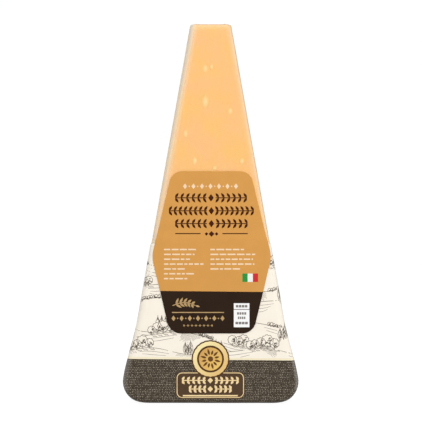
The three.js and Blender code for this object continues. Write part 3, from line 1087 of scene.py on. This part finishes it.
def make_band_dots(seed=7):
    """Dots on a grid, fuller in threads like a weave's, with dotted figures."""
    pen, draw, marks = Ink(on_print), random.Random(seed), []
    figures = [np.concatenate([np.linspace(*ends, 8) for ends in zip(line, line[1:])])
               for line in FIGURES]
    for line in range(FIGURE_ROWS):
        z = BAND_CLEAR + FIGURE_PITCH * (line + 0.5)
        half_way = way_to_back(z)
        count = int(2 * half_way / FIGURE_PITCH)
        for i in range(count):
            s = half_way * (2 * (i + 0.25 + 0.5 * (line % 2)) / count - 1)
            place = s + draw.uniform(-0.4, 0.4), z + draw.uniform(-0.4, 0.4)
            marks.append(draw.choice(figures) * draw.uniform(0.7, 1.0) + place)
    marks = np.concatenate(marks)
    for z in BAND_CLEAR + DOT_PITCH * np.arange(ceil(BAND_TOP / DOT_PITCH) + 1):
        half_way = way_to_back(z)
        row = np.linspace(-half_way, half_way, int(2 * half_way / DOT_PITCH), endpoint=False)
        sizes = np.interp(0.25 + 1.3 * threads(row, z), (0, 1), DOT_SIZES)
        for s, size in zip(row, sizes):
            if np.hypot(marks[:, 0] - s, marks[:, 1] - z).min() < FIGURE_REACH:
                size = FIGURE_DOT
            s += draw.uniform(-DOT_SHIFT, DOT_SHIFT)
            if z < band_height(s) - LINE_HEIGHT - size / 2 - 0.1:
                pen.lozenge(s, z + draw.uniform(-DOT_SHIFT, DOT_SHIFT), size, size)
    pen.piece("band_dots", print_finish("band_dots", patch=2.5))


# ---- the rosette and its plaque ----
SEAL_MIDDLE = (210.5, 359.0)  # a photograph pixel
# Piece, ink level, scalloped or not, then the inner and outer radii of its rings
SEAL_RINGS = (("seal_edge", 3, True, (6.65, 7.75)), ("seal_border", 4, True, (5.6, 7.2)),
              ("seal_face", 4, False, (2.6, 4.8), (0, 2.6)), ("seal_groove", 3, False, (4.65, 5.8)))
SEAL_SIDES, SCALLOPS, SCALLOP_RISE = 96, 24, 0.14
RAYS, RAY_START, RAY_LENGTHS, RAY_WIDTH, RAY_HUB = 12, 1.7, (2.1, 2.7), 0.95, 1.1
PLAQUE_MIDDLE = (210.3, 385.2)  # a photograph pixel
PLAQUE_WIDTH, PLAQUE_HEIGHT, PLAQUE_CORNER = 28.6, 11.2, 2.6
PLAQUE_COLUMNS = 18
PLAQUE_ROWS = ((182.0, 238.6, 380.4), (189.0, 231.6, 389.0))  # left, right and row
BORDER_INSET, BORDER_WIDTH = 0.5, 0.32
UNDERLINE = 11.4, 4.35, 0.6  # half its length, how far below the middle it is, and its width


def make_plaque():
    """A dark plate with a gold border and two rows of leaves."""
    x, z = at_pixel(*PLAQUE_MIDDLE)
    w, h = PLAQUE_WIDTH / 2, PLAQUE_HEIGHT / 2
    lower = np.append(PLAQUE_CORNER * (1 - np.cos(np.linspace(0, pi / 2, 6))),
                      evenly(PLAQUE_CORNER, h, 3)) - h
    lines = np.append(lower, -lower[-2::-1])
    half = w - rounded_off(np.abs(lines) - (h - PLAQUE_CORNER), PLAQUE_CORNER)
    plate, gold = Ink(on_wrap, 1), Ink(on_wrap, 2)
    shares = np.linspace(-1, 1, PLAQUE_COLUMNS + 1)
    plate.add([(x + reach * share, z + line) for line, reach in zip(lines, half) for share in shares],
              grid(len(lines), len(shares)))
    plate.piece("plaque")
    w, h = w - BORDER_INSET, h - BORDER_INSET
    box = [(x, z - h), (x + w, z - h), (x + w, z + h), (x - w, z + h), (x - w, z - h), (x, z - h)]
    border = rounded(box, [PLAQUE_CORNER - BORDER_INSET] * 4, 6)
    gold.stroke([box[0], *border, box[-1]], BORDER_WIDTH, taper=0)
    reach, below, width = UNDERLINE
    gold.rule(x - reach, x + reach, z - below, width)
    for place in PLAQUE_ROWS:
        leaf_frieze(gold, *place, height=3.1)
    gold.piece("plaque_gold")


def make_seal():
    """A scalloped gold rosette with rays, and nothing on it that stands for a name."""
    x, z = at_pixel(*SEAL_MIDDLE)
    scallops = SCALLOP_RISE * np.abs(np.cos(SCALLOPS * pi * np.arange(SEAL_SIDES) / SEAL_SIDES))
    brown = print_finish("seal_brown")
    for name, level, scalloped, *rings in SEAL_RINGS:
        ink = Ink(on_wrap, level)
        for inner, outer in rings:
            ink.ring(x, z, inner, outer + scalloped * scallops, SEAL_SIDES)
        ink.piece(name, gold_finish(name) if name in PRINTS else brown)
    rays = Ink(on_wrap, 5)
    for i in range(RAYS):
        turn = 2 * pi * (i + 0.5) / RAYS
        foot = x + RAY_START * cos(turn), z + RAY_START * sin(turn)
        rays.leaf(*foot, RAY_LENGTHS[i % 2], RAY_WIDTH, turn)
    rays.ring(x, z, 0, RAY_HUB, 2 * RAYS)
    rays.piece("seal_rays")


make_cheese()
make_crystals()
make_film()
make_wrap()
make_label()
make_label_print()
Engraving().make()
make_band_dots()
make_seal()
make_plaque()
make_seams()

# ======== camera, light and stage ========
AIR_LIGHT = 0.68  # brightness of the surroundings
GLOSS_LIGHT = 0.3  # and as gloss shows them
BACKDROP_LIGHT = 1.02  # and of the backdrop, which the photograph shows white
FLOOR_LIGHT = 0.95  # what the floor gives besides what it reflects
FLOOR_REACH, FLOOR_LEVEL = 4000, -0.2


def look(name, data, place, target):
    """A camera or a lamp that looks from a place at a target."""
    made = bpy.data.objects.new(name, data)
    bpy.context.scene.collection.objects.link(made)
    made.location = Vector(place) * MM
    made.rotation_euler = (Vector(target) - Vector(place)).to_track_quat("-Z", "Y").to_euler()
    return made


def make_camera():
    lens = bpy.data.cameras.new("camera")
    lens.lens, lens.sensor_width = LENS, SENSOR
    x, z = at_pixel(PHOTO_WIDTH / 2, PHOTO_WIDTH / 2)
    away = PHOTO_WIDTH * PIXEL * LENS / SENSOR + THICKNESS / 2
    bpy.context.scene.camera = look("camera", lens, (x, -away, z), (x, 0, z))


def add_light(name, place, size, power, target=(0, 0, 70), shows=True, lights=True):
    """A soft lamp. It shows in gloss, lights matt surfaces, or does both."""
    data = bpy.data.lights.new(name, "AREA")
    data.shape, data.size, data.size_y, data.energy = "RECTANGLE", size[0] * MM, size[1] * MM, power
    light = look(name, data, place, target)
    light.visible_camera, light.visible_glossy, light.visible_diffuse = False, shows, lights


def make_stage():
    """A white backdrop over an evenly bright room, and a pale floor."""
    world = bpy.context.scene.world or bpy.data.worlds.new("world")
    bpy.context.scene.world = world
    world.use_nodes = True
    tree = world.node_tree
    rays, light = add_node(tree, "LightPath"), tree.nodes["Background"]
    feed(light.inputs["Color"], WHITE)
    feed(light.inputs["Strength"], AIR_LIGHT)
    for kind, strength in (("Is Glossy Ray", GLOSS_LIGHT), ("Is Camera Ray", BACKDROP_LIGHT)):
        other = add_node(tree, "Background", {"Color": WHITE, "Strength": strength})
        light = add_node(tree, "MixShader", {0: rays.outputs[kind], 1: light.outputs[0],
                                             2: other.outputs[0]})
    feed(tree.nodes["World Output"].inputs["Surface"], light.outputs[0])
    finish = Finish("stage_floor")
    finish.set(Base_Color=(0.1, 0.1, 0.1, 1), Roughness=0.9, Emission_Color=WHITE,
               Emission_Strength=FLOOR_LIGHT, Specular_IOR_Level=0.0)
    corners = [(x * FLOOR_REACH, y * FLOOR_REACH, FLOOR_LEVEL)
               for x, y in ((-1, -1), (1, -1), (1, 1), (-1, 1))]
    floor = new_object("floor", corners, [(0, 1, 2, 3)], [finish.material])
    floor.visible_glossy = floor.visible_diffuse = False


make_camera()
make_stage()
add_light("key", (160, -760, 400), (700, 700), 5.0, shows=False)
add_light("overhead", (0, 0, 900), (700, 500), 1.3)
add_light("left_panel", (-700, -250, 120), (1700, 900), 4.4, (0, -250, 120), lights=False)
add_light("right_panel", (700, 60, 120), (700, 900), 3.2, (0, 60, 120), lights=False)
add_light("behind", (-250, 700, 500), (500, 500), 3.0, shows=False)
bpy.context.scene.view_settings.view_transform = "Standard"
